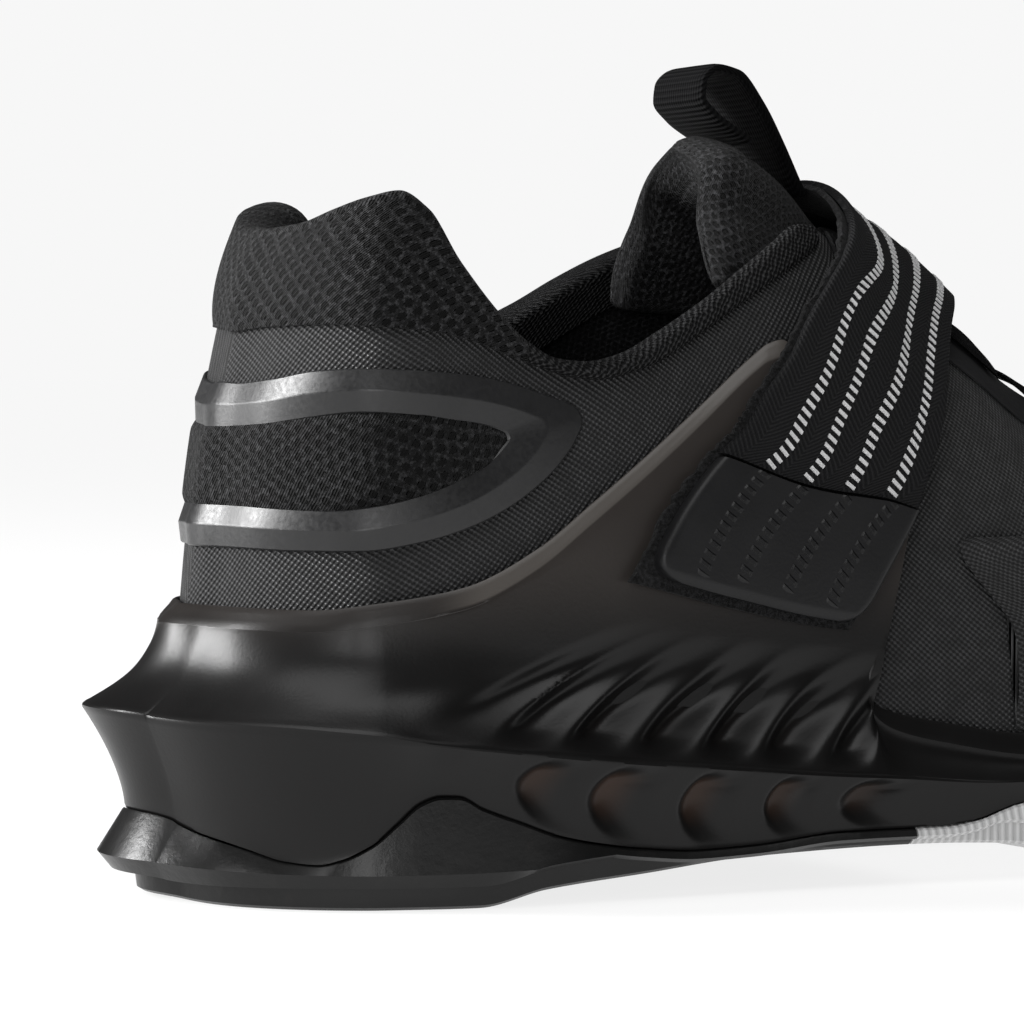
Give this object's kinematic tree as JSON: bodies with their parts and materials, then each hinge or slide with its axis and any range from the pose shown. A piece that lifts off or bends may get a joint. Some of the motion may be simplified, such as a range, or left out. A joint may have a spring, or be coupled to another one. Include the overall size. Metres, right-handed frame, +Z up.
{
  "type": "weightlifting shoe",
  "caption": "Right weightlifting shoe: ridged raised-heel midsole with a wing, wide instep strap with rubber tab, heel ring overlay, padded tongue, grey forefoot outsole.",
  "frame": {"origin": "on the floor plane under the heel, at the heel tread's flat spot", "axes": "+X towards the toe, +Y towards the inner side of a right foot, +Z up"},
  "size_m": [0.3047, 0.1074, 0.1283],
  "materials": {
    "outsole_heel": "glossy black rubber",
    "outsole_forefoot": "matte light grey rubber",
    "midsole": "satin black moulding",
    "insole": "black sock liner",
    "upper": "dark grey woven textile",
    "collar_panel": "black spacer mesh and knit binding",
    "heel_ring": "matte moulded film",
    "tongue": "padded black mesh",
    "pull_loop": "ribbed webbing",
    "eyestay_lateral": "matte film",
    "eyestay_medial": "matte film",
    "laces": "flat woven lace",
    "strap": "herringbone webbing",
    "strap_backing": "loop pile",
    "strap_tab": "semi-gloss moulded rubber",
    "vamp_panel": "matte film"
  },
  "bodies": {
    "root": {"outsole_heel": "outsole_heel", "outsole_forefoot": "outsole_forefoot", "midsole": "midsole", "insole": "insole", "upper": "upper", "collar_panel": "collar_panel", "heel_ring": "heel_ring", "tongue": "tongue", "pull_loop": "pull_loop", "eyestay_lateral": "eyestay_lateral", "eyestay_medial": "eyestay_medial", "laces": "laces", "strap": "strap", "strap_backing": "strap_backing", "strap_tab": "strap_tab", "vamp_panel": "vamp_panel"}
  },
  "joints": []
}
